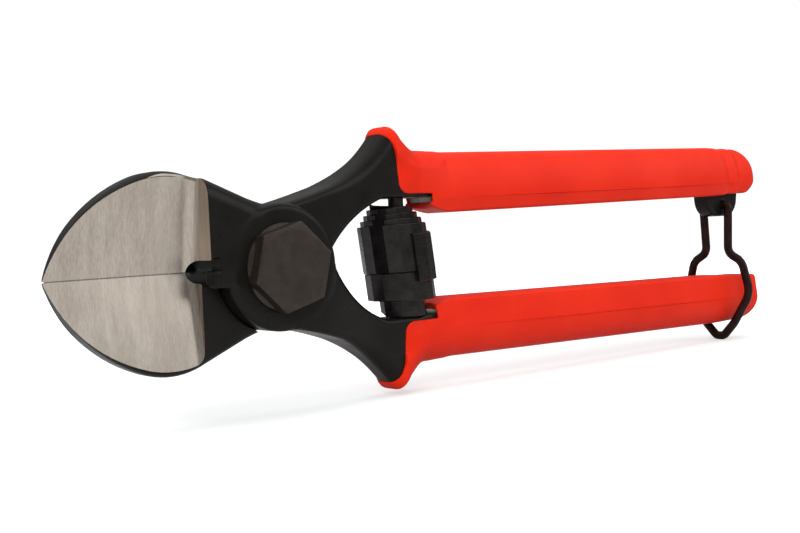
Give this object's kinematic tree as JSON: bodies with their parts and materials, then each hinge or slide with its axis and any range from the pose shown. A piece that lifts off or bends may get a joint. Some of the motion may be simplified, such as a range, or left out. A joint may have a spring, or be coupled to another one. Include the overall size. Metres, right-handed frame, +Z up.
{
  "type": "bolt cutters",
  "caption": "One-hand bolt and cable cutters: two lapped forged jaws on a flanged pivot bolt, a volute return spring, dipped grips and a swinging wire latch.",
  "frame": {"origin": "bottom centre of the closed and latched tool standing on edge, on its lower guard and latch loop", "axes": "+X along the tool towards the handle ends, +Y away from the bolt head, +Z up across the handles"},
  "size_m": [0.1982, 0.0252, 0.0566],
  "materials": {
    "lacquered_steel": "gloss black lacquer over forged steel, with the cutting faces ground bare",
    "ground_steel": "bare ground steel",
    "grip_vinyl": "glossy dipped vinyl, orange red",
    "burnished_steel": "dark burnished steel",
    "spring_steel": "black oxide spring strip",
    "wire_steel": "dark brown oxide wire"
  },
  "bodies": {
    "rear_half": {"rear_forging": "lacquered_steel", "upper_grip": "grip_vinyl", "upper_spring_peg": "burnished_steel", "volute_spring": "spring_steel", "pivot_bolt": "burnished_steel", "lock_washer": "burnished_steel", "pivot_nut": "burnished_steel"},
    "front_half": {"front_forging": "lacquered_steel", "lower_grip": "grip_vinyl", "lower_spring_peg": "burnished_steel"},
    "latch": {"latch_wire": "wire_steel"}
  },
  "joints": [
    {"name": "jaw_pivot", "type": "hinge", "parent": "rear_half", "child": "front_half", "pos_m": [-0.0559, -0.00155, 0.0283], "axis": [0, 1, 0], "range_deg": [0, 25], "deforming": ["volute_spring", "latch_wire"]},
    {"name": "latch_swing", "type": "hinge", "parent": "rear_half", "child": "latch", "pos_m": [0.0874, -0.00155, 0.0365], "axis": [0, -1, 0], "range_deg": [0, 94]}
  ]
}
